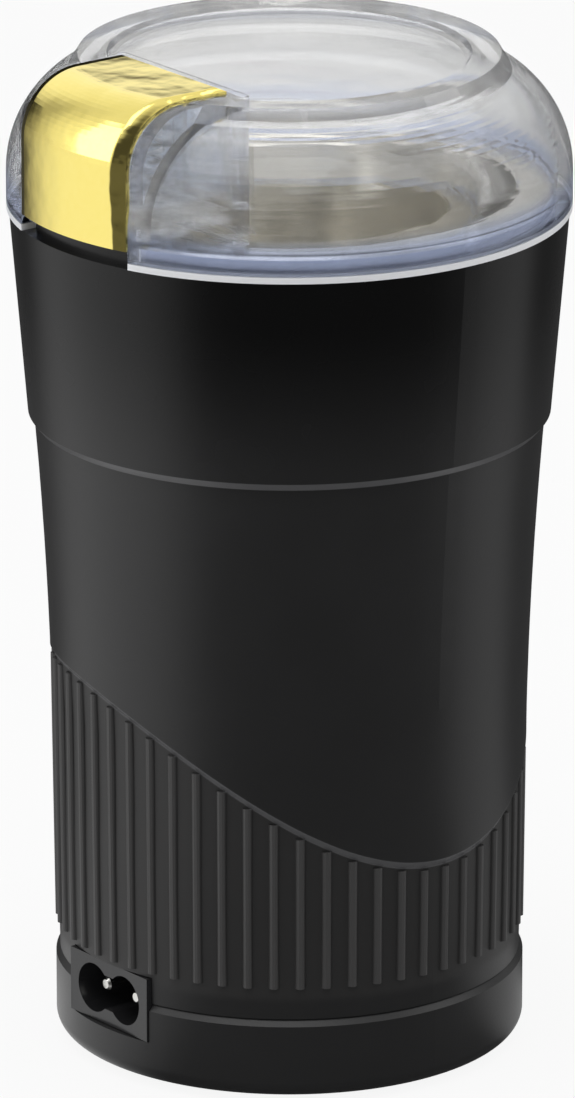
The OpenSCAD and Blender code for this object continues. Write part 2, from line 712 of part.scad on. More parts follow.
// ---------- motor ----------
module motor_shaft() {
    color("silver") {
        cylinder_from(shaft_r, shaft_bottom, blade_z);
        cylinder_from(shaft_r - 0.6, blade_z - eps, shaft_top);
    }
}
module rotor_core() {
    color([0.45, 0.45, 0.47]) translate([0, 0, core_z]) linear_extrude(core_l) difference() {
        circle(r = rotor_r, $fn = round_fn);
        circle(r = shaft_r, $fn = small_fn);
        for (i = [0:slot_count - 1]) rotate(360 * i / slot_count) {
            translate([rotor_r - 4.2, 0]) circle(r = 2.2, $fn = small_fn);
            translate([rotor_r - 4, -0.7]) square([8, 1.4]);
        }
    }
}
module rotor_windings() {
    end_out = rotor_r - 2.4;
    color([0.72, 0.4, 0.2]) {
        for (z = [core_z - winding_l, core_z + core_l]) translate([0, 0, z])
            rotate_extrude($fn = round_fn) polygon([[shaft_r + 1.6, 0.6], [shaft_r + 2.4, 0],
                [end_out - 2, 0], [end_out, 2], [end_out, winding_l - 2], [end_out - 2, winding_l],
                [shaft_r + 2.4, winding_l], [shaft_r + 1.6, winding_l - 0.6]]);
        for (i = [0:slot_count - 1]) rotate([0, 0, 360 * i / slot_count])
            translate([rotor_r - 4.2, 0, 0]) cylinder_from(1.9, core_z - 1, core_z + core_l + 1);
    }
}
module commutator() {
    color([0.75, 0.45, 0.25]) translate([0, 0, commutator_z]) difference() {
        cylinder(r = commutator_r, h = commutator_h, $fn = round_fn);
        translate([0, 0, -eps]) cylinder(r = shaft_r, h = commutator_h + 1, $fn = small_fn);
        for (i = [0:segments - 1]) rotate([0, 0, 360 * i / segments])
            translate([commutator_r - 0.8, -0.25, 1]) cube([2, 0.5, commutator_h]);
    }
}
module cooling_fan() {
    color([0.85, 0.85, 0.8]) translate([0, 0, fan_z]) {
        tube(6, shaft_r, fan_h);
        difference() {
            cylinder(r = fan_r, h = 1.4, $fn = round_fn);
            translate([0, 0, -eps]) cylinder(r = 5, h = 2, $fn = small_fn);
        }
        for (i = [0:fan_blades - 1]) rotate([0, 0, 360 * i / fan_blades])
            translate([8, -0.6, 1.4 - eps]) rotate([0, 0, 18]) cube([fan_r - 9, 1.2, fan_h - 1.4]);
    }
}
module stator_profile() {
    intersection() {
        square([2 * stator_x, 2 * stator_y], center = true);
        circle(r = plate_round, $fn = round_fn);
    }
}
module stator_core() {
    window_x = stator_x - frame_t;
    window_y = stator_y - frame_t;
    color([0.5, 0.5, 0.52]) translate([0, 0, core_z]) linear_extrude(core_l) difference() {
        stator_profile();
        difference() {
            intersection() {
                square([2 * window_x, 2 * window_y], center = true);
                circle(r = window_round, $fn = round_fn);
            }
            // Poles: a neck and a shoe on each side
            square([2 * window_x + 1, neck_w], center = true);
            intersection() {
                circle(r = stator_bore + shoe_t, $fn = round_fn);
                for (side = [0, 180]) rotate(side) polygon([[0, 0],
                    [far * cos(shoe_angle), -far * sin(shoe_angle)], [far, -far], [far, far],
                    [far * cos(shoe_angle), far * sin(shoe_angle)]]);
            }
        }
        circle(r = stator_bore, $fn = round_fn);
        for (x = [-tie_x, tie_x], y = [-tie_y, tie_y]) translate([x, y])
            circle(r = tie_r + 0.1, $fn = small_fn);
    }
}
module field_coils() {
    half = stator_y - frame_t - 1;
    color([0.75, 0.35, 0.18]) for (side = [0, 180]) rotate([0, 0, side]) difference() {
        intersection() {
            translate([coil_in, -half, core_z - coil_h])
                cube([coil_out - coil_in, 2 * half, core_l + 2 * coil_h]);
            cylinder_from(coil_round, core_z - coil_h - 1, core_z + core_l + coil_h + 1);
        }
        translate([coil_in - 1, -neck_w / 2 - 0.2, core_z - 0.2])
            cube([coil_out, neck_w + 0.4, core_l + 0.4]);
    }
}
// Bridge plate with a bearing boss and four legs that reach the stator
module motor_bracket(plate_z, boss_low, boss_high, leg_low, leg_high) {
    difference() {
        union() {
            translate([0, 0, plate_z]) linear_extrude(plate_t) intersection() {
                square([2 * stator_x, 2 * plate_y], center = true);
                circle(r = plate_round, $fn = round_fn);
            }
            cylinder_from(bearing_r + 2, boss_low, boss_high);
            for (x = [-tie_x, tie_x], y = [-tie_y, tie_y]) translate([x, y, 0])
                cylinder_from(leg_r, leg_low, leg_high);
        }
        cylinder_from(bearing_r, boss_low - 1, boss_high + 1);
        for (x = [-tie_x, tie_x], y = [-tie_y, tie_y]) translate([x, y, 0])
            cylinder_from(tie_r + 0.1, 0, far);
    }
}
module upper_motor_bracket() {
    color([0.6, 0.62, 0.64]) difference() {
        motor_bracket(up_plate_z, up_plate_z - 1.2, up_plate_z + bearing_h - 1.2,
            core_z + core_l, up_plate_z + 1);
        for (x = [-1, 1], y = [-1, 1]) translate([x * mount_x, y * mount_y, 0])
            cylinder_from(screw_r + 0.3, up_plate_z - 1, up_plate_z + plate_t + 1);
    }
}
module lower_motor_bracket() {
    color([0.6, 0.62, 0.64])
        motor_bracket(low_plate_z, low_plate_z - 3, low_plate_z + 4, low_plate_z + 1, core_z);
}
module bearing(z0) {
    color([0.72, 0.6, 0.35]) turned([[shaft_r + bearing_gap, z0], [bearing_r, z0],
        [bearing_r, z0 + bearing_h], [shaft_r + bearing_gap, z0 + bearing_h]], small_fn * 2);
}
module upper_bearing() { bearing(up_plate_z - 1.2); }
module lower_bearing() { bearing(low_plate_z - 3); }
module tie_screws() {
    color("silver") for (x = [-tie_x, tie_x], y = [-tie_y, tie_y]) translate([x, y, 0]) {
        cylinder_from(tie_r, low_plate_z - 1, up_plate_z + plate_t);
        cylinder_from(2.8, low_plate_z - 2.4, low_plate_z);
    }
}
module motor_mounts() {
    color([0.15, 0.15, 0.15]) for (x = [-1, 1], y = [-1, 1])
        translate([x * mount_x, y * mount_y, up_plate_z + plate_t]) tube(mount_r, screw_r + 0.3, mount_h);
}
module mount_screws() {
    color("silver") for (x = [-1, 1], y = [-1, 1]) translate([x * mount_x, y * mount_y, 0]) {
        cylinder_from(screw_r, up_plate_z - 1, floor_top - 1.2);
        cylinder_from(2.8, up_plate_z - 1.8, up_plate_z);
    }
}
module brush_holders() {
    inner = commutator_r + 1.4;
    outer = stator_x - 5;
    top = brush_z + brush_h / 2 + 1;
    color([0.35, 0.22, 0.14]) for (side = [0, 180]) rotate([0, 0, side]) difference() {
        union() {
            translate([inner, -brush_side, brush_z - brush_h / 2 - 1])
                cube([outer - inner, 2 * brush_side, brush_h + 2]);
            translate([inner + 4, -brush_side, low_plate_z + plate_t])
                cube([8, 2 * brush_side, brush_z - brush_h / 2 - low_plate_z - plate_t]);
        }
        translate([inner - 1, -brush_w / 2 - 0.1, brush_z - brush_h / 2 - 0.1])
            cube([outer - inner - 0.5, brush_w + 0.2, brush_h + 0.2]);
    }
}
brush_in = commutator_r + 0.1;
brush_l = 9;
brush_seat = stator_x - 5 - 1.5;
module carbon_brushes() {
    color([0.2, 0.2, 0.2]) for (side = [0, 180]) rotate([0, 0, side]) difference() {
        translate([brush_in - 1, -brush_w / 2, brush_z - brush_h / 2]) cube([brush_l + 1, brush_w, brush_h]);
        cylinder(r = brush_in, h = far, $fn = round_fn);
    }
}
brush_turns = 5;
brush_coil = [for (i = [0:brush_turns * spring_steps]) let (a = 360 * i / spring_steps)
    [brush_in + brush_l + 0.3 + (brush_seat - brush_in - brush_l - 0.6) * i / (brush_turns * spring_steps),
    1.9 * cos(a), brush_z + 1.9 * sin(a)]];
echo("least gap between turns of a brush spring",
    (brush_seat - brush_in - brush_l - 0.6) / brush_turns - 0.5);
module brush_springs() {
    color("silver") for (side = [0, 180]) rotate([0, 0, side]) swept(brush_coil, 0.25, 4);
}

// ---------- switch ----------
module actuator_rod() {
    y1 = -rod_in_top;
    y2 = -rod_in_low;
    color([0.9, 0.9, 0.88]) translate([-rod_w / 2, 0, 0]) rotate([90, 0, 90])
        linear_extrude(rod_w) polygon([[y1 - rod_t, rod_top], [y1 - rod_t, rod_knee_z],
            [y2 - rod_t, rod_bend_z], [y2 - rod_t, rod_foot_z], [-rod_foot_in, rod_foot_z],
            [-rod_foot_in, rod_foot_z + 2], [y2, rod_foot_z + 2], [y2, rod_bend_z],
            [y1, rod_knee_z], [y1, rod_top]]);
}
module switch_bracket() {
    y0 = -switch_in;
    color([0.55, 0.55, 0.58]) difference() {
        union() {
            slab(switch_w / 2 + 1, y0, y0 + bracket_t, switch_top - switch_h, floor_z);
            slab(switch_w / 2 + 1, y0, y0 + 5, floor_z - bracket_t, floor_z);
        }
        slab(5, y0 - 1, y0 + bracket_t + 1, switch_top + 1, floor_z - bracket_t - 1.5);
    }
}
module micro_switch() {
    color([0.15, 0.15, 0.16]) difference() {
        union() {
            slab(switch_w / 2, -switch_in - switch_t, -switch_in, switch_top - switch_h, switch_top);
            slab(2.6, -switch_y - 2.4, -switch_y + 2.4, switch_top - 1, switch_top + 0.5);
            for (x = [-tag_x, tag_x]) translate([x, -switch_y, 0])
                slab(0.4, -1.6, 1.6, switch_top - switch_h - 4, switch_top - switch_h + 1);
        }
        translate([0, -switch_y, 0])
            cylinder_from(plunger_r + 0.08, switch_top - button_travel - 2, far);
    }
}
module switch_plunger() {
    color([0.8, 0.2, 0.15]) translate([0, -switch_y, 0])
        cylinder_from(plunger_r, switch_top - 1.4, plunger_top);
}

// ---------- electrics ----------
cap_x = 6;
cap_y = core_in - 15.3;
cap_top = base_z + base_floor_t + 17;
module filter_capacitor() {
    color([0.85, 0.7, 0.2]) union() {
        slab(9, cap_y - 4, cap_y + 4, base_z + base_floor_t, cap_top - 3);
        for (x = [-cap_x, cap_x]) translate([x, cap_y, 0]) cylinder_from(0.4, cap_top - 4, cap_top);
    }
}
module thermal_fuse() {
    color([0.9, 0.9, 0.85]) translate([0, stator_y + 2, 0]) {
        cylinder_from(2, core_z + 6, core_z + 17);
        cylinder_from(0.4, core_z + 2, core_z + 21);
    }
}
// Leads from the inlet to the switch and the capacitor, and from the switch to a brush holder
module internal_wires() {
    lead_r = 0.9;
    tail_y = -inlet_y + 2.6 + socket_depth + 5;
    px = pin_pitch / 2;
    sw = switch_top - switch_h - 4;
    wall_y = -(core_in - 3.3);
    side_y = -(stator_y + 3);
    brush_x = -(stator_x - 13);
    brush_top = brush_z + brush_h / 2 + 0.1;
    color([0.7, 0.1, 0.1]) {
        swept([[px, tail_y, inlet_z], [px, tail_y + 2, inlet_z], [px + 2, tail_y + 2.5, inlet_z + 3.6],
            [tag_x, wall_y + 8, inlet_z + 7.6], [tag_x + 1, wall_y + 0.5, low_plate_z - 3],
            [tag_x + 1, wall_y, low_plate_z + plate_t], [tag_x + 1, wall_y, core_z + 4],
            [tag_x, wall_y, sw - 6], [tag_x, -switch_y, sw - 1], [tag_x, -switch_y, sw]], lead_r);
        swept([[-tag_x, -switch_y, sw], [-tag_x, -switch_y, sw - 1], [-tag_x, side_y - 4, sw - 5],
            [-tag_x, side_y - 1, sw - 9], [-tag_x - 5, side_y, core_z + 14],
            [-tag_x - 9, side_y + 0.5, core_z + 4], [brush_x + 1, side_y + 1.5, core_z - 4],
            [brush_x, side_y + 8, brush_top + 1.4], [brush_x, side_y + 12, brush_top + 0.9],
            [brush_x, side_y + 18, brush_top], [brush_x, -brush_side, brush_top]], lead_r);
        swept([[-px, tail_y, inlet_z], [-px, tail_y + 2, inlet_z], [-px, tail_y + 6, inlet_z + 1.6],
            [-cap_x - 2, tail_y + 12, inlet_z + 3.6], [-cap_x - 2, cap_y - 18, inlet_z + 5.6],
            [-cap_x, cap_y - 6, cap_top + 0.3], [-cap_x, cap_y, cap_top + 0.8],
            [-cap_x, cap_y, cap_top + 0.1]], lead_r);
    }
}

lid_shell();
press_button();
button_spring();
upper_housing();
lower_housing();
base_cover();
rubber_feet();
base_screws();
housing_screws();
inlet_socket();
inlet_pins();
grinding_bowl();
bowl_gasket();
shaft_seal();
blade();
blade_hub();
blade_nut();
motor_shaft();
rotor_core();
rotor_windings();
commutator();
cooling_fan();
stator_core();
field_coils();
upper_motor_bracket();
lower_motor_bracket();
upper_bearing();
lower_bearing();
tie_screws();
motor_mounts();
mount_screws();
brush_holders();
carbon_brushes();
brush_springs();
actuator_rod();
switch_bracket();
micro_switch();
switch_plunger();
filter_capacitor();
thermal_fuse();
internal_wires();
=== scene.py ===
# %% [markdown]
# Electric spice grinder: looks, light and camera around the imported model.
#
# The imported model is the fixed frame: every solid arrives at its real size and place, in metres,
# with +Z up and the press button and the mains inlet facing -Y. This lesson gives each solid a
# finish that is made from shader nodes, winds the button's return spring as round wire, and sets
# a soft studio round the grinder.

import json
import math

import bmesh
import bpy
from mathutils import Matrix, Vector


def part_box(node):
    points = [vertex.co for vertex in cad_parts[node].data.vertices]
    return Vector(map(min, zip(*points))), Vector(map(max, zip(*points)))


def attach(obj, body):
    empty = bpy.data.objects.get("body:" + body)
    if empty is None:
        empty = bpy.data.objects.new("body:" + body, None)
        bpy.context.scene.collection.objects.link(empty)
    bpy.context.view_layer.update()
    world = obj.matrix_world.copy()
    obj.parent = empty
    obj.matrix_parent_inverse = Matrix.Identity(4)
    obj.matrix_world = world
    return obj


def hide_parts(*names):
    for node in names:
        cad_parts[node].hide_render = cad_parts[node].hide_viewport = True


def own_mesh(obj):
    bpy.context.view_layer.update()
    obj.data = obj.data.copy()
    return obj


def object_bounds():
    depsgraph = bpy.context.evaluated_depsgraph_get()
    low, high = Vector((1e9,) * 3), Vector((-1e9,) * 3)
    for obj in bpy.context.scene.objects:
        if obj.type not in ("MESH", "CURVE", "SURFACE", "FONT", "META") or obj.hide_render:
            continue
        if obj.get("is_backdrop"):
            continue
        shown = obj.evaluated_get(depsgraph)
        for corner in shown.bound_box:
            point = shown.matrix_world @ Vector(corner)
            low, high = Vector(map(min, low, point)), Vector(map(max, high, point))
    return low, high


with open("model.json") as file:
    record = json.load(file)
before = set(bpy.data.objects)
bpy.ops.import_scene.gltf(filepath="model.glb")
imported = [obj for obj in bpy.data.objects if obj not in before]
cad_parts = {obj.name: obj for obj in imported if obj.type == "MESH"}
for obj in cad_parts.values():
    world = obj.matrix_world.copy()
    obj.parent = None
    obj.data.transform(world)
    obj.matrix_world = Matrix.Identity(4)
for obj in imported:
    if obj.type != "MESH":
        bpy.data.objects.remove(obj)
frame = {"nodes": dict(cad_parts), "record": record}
nodes = frame["nodes"]
cad_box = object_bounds()
print("solids:", len(nodes), "whole box:", cad_box)

# %% [markdown]
# Sizes are easier to read in millimetres, but a scene in Blender is in metres. One factor does the
# change, so that the numbers below can be compared with a ruler.

# %% Millimetres
MM = 0.001
print("one millimetre is", MM, "of a scene unit")

# %% [markdown]
# A finish is a small net of shader nodes. Wiring them by hand takes many lines, so one class wraps
# an output socket and lets Python's own signs do the wiring: `1 - mask` adds a Math node, and
# `mask.blend(dark, light)` mixes two colours. Colours never go through a Math node, because that
# would turn them grey. Places and directions are vectors, so they go through Vector Math.

# %% The signal class
class Signal:
    """An output socket of a shader tree, which can be added, multiplied, mixed and fed onwards."""

    def __init__(self, tree, socket):
        self.tree = tree
        self.socket = socket

    def node(self, kind, settings=None, inputs=None, out=0):
        """Adds any node: its settings first, then values or signals for its sockets."""
        made = self.tree.nodes.new(kind)
        for name, value in (settings or {}).items():
            setattr(made, name, value)
        for name, value in (inputs or {}).items():
            if isinstance(value, Signal):
                self.tree.links.new(value.socket, made.inputs[name])
            else:
                made.inputs[name].default_value = value
        return Signal(self.tree, made.outputs[out])

    def calc(self, operation, *values):
        """A Math node on the values, in their order."""
        return self.node("ShaderNodeMath", {"operation": operation}, dict(enumerate(values)))

    def vector_calc(self, operation, *values, out=0):
        """A Vector Math node on this vector and the values."""
        return self.node("ShaderNodeVectorMath", {"operation": operation},
                         dict(enumerate((self, *values))), out)

    def __add__(self, other):
        return self.calc("ADD", self, other)

    def __radd__(self, other):
        return self.calc("ADD", other, self)

    def __sub__(self, other):
        return self.calc("SUBTRACT", self, other)

    def __rsub__(self, other):
        return self.calc("SUBTRACT", other, self)

    def __mul__(self, other):
        return self.calc("MULTIPLY", self, other)

    def __rmul__(self, other):
        return self.calc("MULTIPLY", other, self)

    def __truediv__(self, other):
        return self.calc("DIVIDE", self, other)

    def __rtruediv__(self, other):
        return self.calc("DIVIDE", other, self)

    def at_least(self, other):
        """The larger of the two."""
        return self.calc("MAXIMUM", self, other)

    def step(self, low, high):
        """0 below low, 1 above high, and a smooth rise between them."""
        return self.node("ShaderNodeMapRange", {"interpolation_type": "SMOOTHSTEP"},
                         {"Value": self, "From Min": low, "From Max": high})

    def blend(self, first, second):
        """Mixes two colours, with this signal as the share of the second."""
        return self.node("ShaderNodeMix", {"data_type": "RGBA"}, {0: self, 6: first, 7: second}, 2)

    def part(self, axis):
        """One number of a vector: 0 is X, 1 is Y and 2 is Z."""
        return self.node("ShaderNodeSeparateXYZ", {}, {0: self}, axis)

    def stretch(self, x, y, z):
        """The vector scaled along its axes."""
        return self.vector_calc("MULTIPLY", (x, y, z))

    def length(self):
        return self.vector_calc("LENGTH", out="Value")

    def unit(self):
        """The vector's direction, with a length of 1."""
        return self.vector_calc("NORMALIZE")

    def dot(self, direction):
        """How far the vector points along a direction."""
        return self.vector_calc("DOT_PRODUCT", tuple(direction), out="Value")


print("signal class ready")

# %% [markdown]
# Every finish starts from the same two things: a surface shader and the place of the point on the
# solid, in metres. The place sticks to the solid, so the grain travels with the button when it is
# pressed. An image could give a grain too, but it would need its own unwrapping and would blur up
# close, while a formula stays sharp. Values that are the same all over are set on the shader, and
# only what changes is wired.

# %% Starting a finish
finishes = {}


def start_finish(name):
    """A new material: gives its surface shader and the place of a point, in metres."""
    material = bpy.data.materials.new(name)
    material.use_nodes = True
    tree = material.node_tree
    finishes[name] = material
    surface = Signal(tree, tree.nodes["Principled BSDF"].outputs[0])
    place = Signal(tree, tree.nodes.new("ShaderNodeTexCoord").outputs["Object"])
    return surface, place


def set_surface(surface, **sockets):
    """Sets plain values on a surface shader and wires the signals; _ stands for a space."""
    for name, value in sockets.items():
        socket = surface.socket.node.inputs[name.replace("_", " ")]
        if isinstance(value, Signal):
            surface.tree.links.new(value.socket, socket)
        else:
            socket.default_value = value


def grain(place, size, detail=3.0, rough=0.5):
    """Cloudy noise whose lumps are about this size in metres."""
    return place.node("ShaderNodeTexNoise", {}, {"Vector": place, "Scale": 1.0 / size,
                                                 "Detail": detail, "Roughness": rough})


def relief(place, height, depth):
    """A normal from a height signal, where 1 stands this many metres proud."""
    return place.node("ShaderNodeBump", {}, {"Height": height, "Distance": depth, "Strength": 1.0})


print("finish helpers ready")

# %% [markdown]
# Some pieces need two surfaces in one finish, such as the clear lid with the painted highlight
# along its foot. A Mix Shader lays one over the other, and its factor is a mask that says where the
# second shows.
# The result then has to be sent to the material's output, which the first shader held until then.

# %% Two surfaces in one finish
def mix_shaders(first, second, share):
    """Mixes two shaders, where share is how much of the second shows."""
    return first.node("ShaderNodeMixShader", {}, {0: share, 1: first, 2: second})


def clear_sheet(place, colour):
    """A shader that lets light straight through and tints it."""
    return place.node("ShaderNodeBsdfTransparent", {}, {"Color": colour})


def show(name, surface):
    """Makes a mixed surface the one that the finish shows."""
    tree = finishes[name].node_tree
    tree.links.new(surface.socket, tree.nodes["Material Output"].inputs["Surface"])


print("mixing helpers ready")

# %% [markdown]
# The smooth skin of the body ends in a wavy edge, and under it the grip's ribs begin. The edge has
# a narrow chamfer that catches the light, as has the seam between the two housings. Painting both
# lines on an image would never meet the chamfers exactly. So the shader uses the wave's own
# formula: one large swing round the body and a second, smaller one that goes twice as fast.

# %% Where the wavy edge runs
WAVE_MIDDLE, WAVE_MAIN, WAVE_SECOND = 60.6 * MM, 11.9 * MM, 8 * MM
WAVE_LOW = math.radians(2)


def height_over_wave(place):
    """How far a point stands over the wavy edge, in metres."""
    turn = place.calc("ARCTAN2", place.part(1), place.part(0)) - WAVE_LOW
    wave = (WAVE_MIDDLE - WAVE_MAIN * turn.calc("COSINE", turn)
            - WAVE_SECOND * turn.calc("COSINE", 2 * turn))
    return place.part(2) - wave


def near(height, middle, half):
    """1 close to a height, falling to 0 over the last quarter of the half width."""
    off = height.calc("ABSOLUTE", height - middle)
    return 1 - off.step(0.75 * half, 1.05 * half)


print("wave from", (WAVE_MIDDLE - WAVE_MAIN - WAVE_SECOND) / MM, "mm up")

# %% [markdown]
# The ribs of the grip are painted lighter than the ground between them, a painted highlight on
# their crests, and the ground is painted a little lighter than the smooth skin, against the shade
# between the ribs. The ribs and the ground are one moulding with one finish, so a mask has to tell
# them apart. It compares how far a point lies from the shaft with the radius of the smooth skin at
# that height: a rib is flush with the skin, and the ground lies deeper. The skin is narrowest at
# its waist and widens both ways.

# %% Find the ribs of the grip
WAIST_UP, WAIST_R = 52 * MM, 41.4 * MM
SHOULDER_RISE, SHOULDER_GAIN, SHOULDER_POWER = 60.5 * MM, 2.8 * MM, 1.8
FOOT_DROP, FOOT_R = 36.5 * MM, 41 * MM
RIB_DEPTH, GRIP_LOW = 0.7 * MM, 18 * MM


def from_shaft(place):
    """How far a point lies from the shaft, in metres."""
    return place.stretch(1, 1, 0).length()


def skin_radius(up):
    """Radius of the body's smooth skin at a height."""
    above = (up - WAIST_UP).at_least(0.0) / SHOULDER_RISE
    below = (WAIST_UP - up).at_least(0.0) / FOOT_DROP
    return (WAIST_R + above.calc("POWER", above, SHOULDER_POWER) * SHOULDER_GAIN
            - below * below * (WAIST_R - FOOT_R))


def grip_masks(place):
    """Two masks: 1 on the whole grip under the wavy edge, and 1 on its ribs alone."""
    up = place.part(2)
    grip = ((1 - height_over_wave(place).step(-0.2 * MM, 0.2 * MM))
            * up.step(GRIP_LOW, GRIP_LOW + 2 * MM))
    over_ground = from_shaft(place) - (skin_radius(up) - RIB_DEPTH)
    return grip, grip * over_ground.step(0.12 * MM, 0.4 * MM)


print("waist radius", WAIST_R / MM, "mm, ribs", RIB_DEPTH / MM, "mm deep")

# %% [markdown]
# The body is black plastic with a satin, spark-eroded skin. Its grain is far finer than a
# millimetre, so it is a bump and no real relief, and hands leave the smooth parts a little glossier
# in soft patches. Black plastic is never quite black, so the smooth skin is a dark grey that varies
# a little. The grip's ribs and ground are painted lighter greys, and the chamfers' thin lines are
# the lightest: a painted highlight where the chamfers catch the light.

# %% Black satin plastic
SEAM_HEIGHT, LINE_OVER_WAVE, LINE_HALF = 113.2 * MM, 0.55 * MM, 0.75 * MM
SKIN_GRAIN = 0.35 * MM
SMOOTH_BLACKS = (0.013, 0.013, 0.0133, 1), (0.019, 0.019, 0.0195, 1)
# Painted light: the ground's grey is lifted against the shade between the ribs, and the ribs' grey
# is a painted highlight.
GROUND_PAINTED_LIGHT, RIB_PAINTED_HIGHLIGHT = (0.023, 0.0225, 0.0225, 1), (0.052, 0.051, 0.051, 1)
# Painted highlight: the grey of the chamfers' thin lines.
CHAMFER_HIGHLIGHT_GREY = (0.085, 0.085, 0.088, 1)
lower_skin, place = start_finish("black_plastic")
up = place.part(2)
skin = grain(place, SKIN_GRAIN, 2.0)
patches = grain(place, 22 * MM, 3.0, 0.6)
grip, rib = grip_masks(place)
# Painted highlight along the wavy edge's chamfer and along the seam.
chamfer_highlight = near(height_over_wave(place), LINE_OVER_WAVE, LINE_HALF).at_least(
    near(up, SEAM_HEIGHT, LINE_HALF))
# Painted light: ribs painted lighter as a highlight, and the grip's ground lifted against the shade
# between them.
lower_black = rib.blend(grip.blend(patches.blend(*SMOOTH_BLACKS), GROUND_PAINTED_LIGHT), RIB_PAINTED_HIGHLIGHT)
body_bump = relief(place, skin, 0.012 * MM)
set_surface(lower_skin, Base_Color=chamfer_highlight.blend(lower_black, CHAMFER_HIGHLIGHT_GREY), IOR=1.42,
            Roughness=0.3 + patches * 0.08 + skin * 0.04 + grip * 0.12, Normal=body_bump)
print("black plastic: grain", SKIN_GRAIN / MM, "mm")

# %% [markdown]
# The upper housing is polished finer than the grip. A second surface with a darker colour, a weaker
# reflection and a smoother skin fades in over the height of that housing, so the body is darker the
# nearer it comes to the lid.

# %% Deeper black towards the lid
DEEP_BLACK = (0.0014, 0.0014, 0.0015, 1)
DEEP_FROM, DEEP_FULL = 108 * MM, 144 * MM
upper_skin = place.node("ShaderNodeBsdfPrincipled")
# The chamfer lines' painted highlight shows over the deeper black too.
set_surface(upper_skin, Base_Color=chamfer_highlight.blend(DEEP_BLACK, CHAMFER_HIGHLIGHT_GREY), IOR=1.36,
            Roughness=0.24 + patches * 0.06, Normal=body_bump)
show("black_plastic", mix_shaders(lower_skin, upper_skin, up.step(DEEP_FROM, DEEP_FULL)))
print("deeper black from", DEEP_FROM / MM, "to", DEEP_FULL / MM, "mm up")

# %% [markdown]
# The inlet, the switch and the small mouldings inside are cast in smoother plastics. Their gloss
# shows soft flow marks instead of a grain. One loop makes them all, since only the two colours
# that the flow mixes and the gloss differ from piece to piece.

# %% Glossy mouldings
GLOSSY = {
    "inlet_plastic": ((0.012, 0.012, 0.013), (0.02, 0.02, 0.021), 0.22),
    "switch_plastic": ((0.018, 0.018, 0.02), (0.03, 0.03, 0.032), 0.28),
    "plunger_plastic": ((0.42, 0.03, 0.02), (0.52, 0.05, 0.03), 0.25),
    "wire_insulation": ((0.32, 0.015, 0.012), (0.42, 0.03, 0.02), 0.32),
    "yellow_plastic": ((0.62, 0.4, 0.05), (0.72, 0.5, 0.09), 0.26),
    "rod_plastic": ((0.6, 0.59, 0.55), (0.68, 0.67, 0.63), 0.38),
    "fan_nylon": ((0.62, 0.6, 0.5), (0.7, 0.68, 0.58), 0.42),
    "fuse_ceramic": ((0.72, 0.7, 0.63), (0.8, 0.78, 0.72), 0.34),
}
for name, (dark, light, gloss) in GLOSSY.items():
    surface, place = start_finish(name)
    flow = grain(place.stretch(1, 1, 0.35), 5 * MM, 4.0)
    pores = grain(place, 0.5 * MM, 2.0)
    set_surface(surface, Base_Color=flow.blend((*dark, 1), (*light, 1)),
                Roughness=gloss - 0.05 + flow * 0.1, Normal=relief(place, pores, 0.006 * MM))
print("glossy mouldings:", ", ".join(GLOSSY))

# %% [markdown]
# Feet, mounts and seals are rubber. Rubber scatters light at every angle, and its skin is mottled
# with fine dust, so both its colour and its relief come from one small grain.

# %% Rubber
RUBBER = {"black_rubber": ((0.012, 0.012, 0.012), (0.03, 0.03, 0.03)),
          "red_rubber": ((0.28, 0.035, 0.02), (0.4, 0.06, 0.04))}
for name, (dark, light) in RUBBER.items():
    surface, place = start_finish(name)
    dust = grain(place, 0.9 * MM, 5.0, 0.7)
    set_surface(surface, Base_Color=dust.blend((*dark, 1), (*light, 1)),
                Roughness=0.68 + dust * 0.2, Normal=relief(place, dust, 0.03 * MM))
print("rubber:", ", ".join(RUBBER))

# %% [markdown]
# The lid is clear plastic, so its surface bends the light that passes through it. The moulding
# leaves a slow ripple, and washing a faint haze. The skirt at its foot is much thicker than the
# dome, and thick clear plastic looks blue. The colour of a surface doesn't know how thick the
# piece is, so a mask finds the skirt by its height and its distance from the shaft.

# %% Clear lid
CLEAR_IOR, LID_FOOT = 1.42, 150.4 * MM
lid, place = start_finish("clear_plastic")
height = place.part(2)
skirt = ((1 - height.step(LID_FOOT + 5.1 * MM, LID_FOOT + 8 * MM))
         * from_shaft(place).step(45.2 * MM, 46 * MM))
ripple = grain(place, 15 * MM, 1.0, 0.4)
haze = grain(place, 3 * MM, 4.0, 0.6)
set_surface(lid, Base_Color=skirt.blend((0.975, 0.98, 0.99, 1), (0.66, 0.72, 0.9, 1)),
            Transmission_Weight=1.0, IOR=CLEAR_IOR, Roughness=haze * 0.012,
            Normal=relief(place, ripple, 0.09 * MM))
print("clear lid from", LID_FOOT / MM, "mm up")

# %% [markdown]
# A shader that only bends light would trap many rays inside the thick edges, and those would turn
# black, while a real lid stays bright there. So a share of the light is let straight through. Over
# the lowest millimetre a third surface, white and dull, is laid on the lid: a painted highlight for
# the bright white line along the lid's lower edge where it stands on the body.

# %% Bright edges and the painted highlight at the lid's foot
STRAIGHT_SHARE, FOOT_HIGHLIGHT_SHARE = 0.3, 0.85
straight = mix_shaders(clear_sheet(place, (0.985, 0.988, 0.993, 1)),
                       clear_sheet(place, (0.76, 0.81, 0.94, 1)), skirt)
# Painted highlight: a white, dull surface stands in for the bright line along the lid's lower edge.
foot_highlight = place.node("ShaderNodeBsdfPrincipled")
set_surface(foot_highlight, Base_Color=(0.93, 0.94, 0.96, 1), Roughness=0.5)
foot_highlight_band = 1 - height.step(LID_FOOT + 1.0 * MM, LID_FOOT + 1.3 * MM)
show("clear_plastic", mix_shaders(mix_shaders(lid, straight, STRAIGHT_SHARE), foot_highlight,
                                  foot_highlight_band * FOOT_HIGHLIGHT_SHARE))
print("clear plastic: share let straight through", STRAIGHT_SHARE)

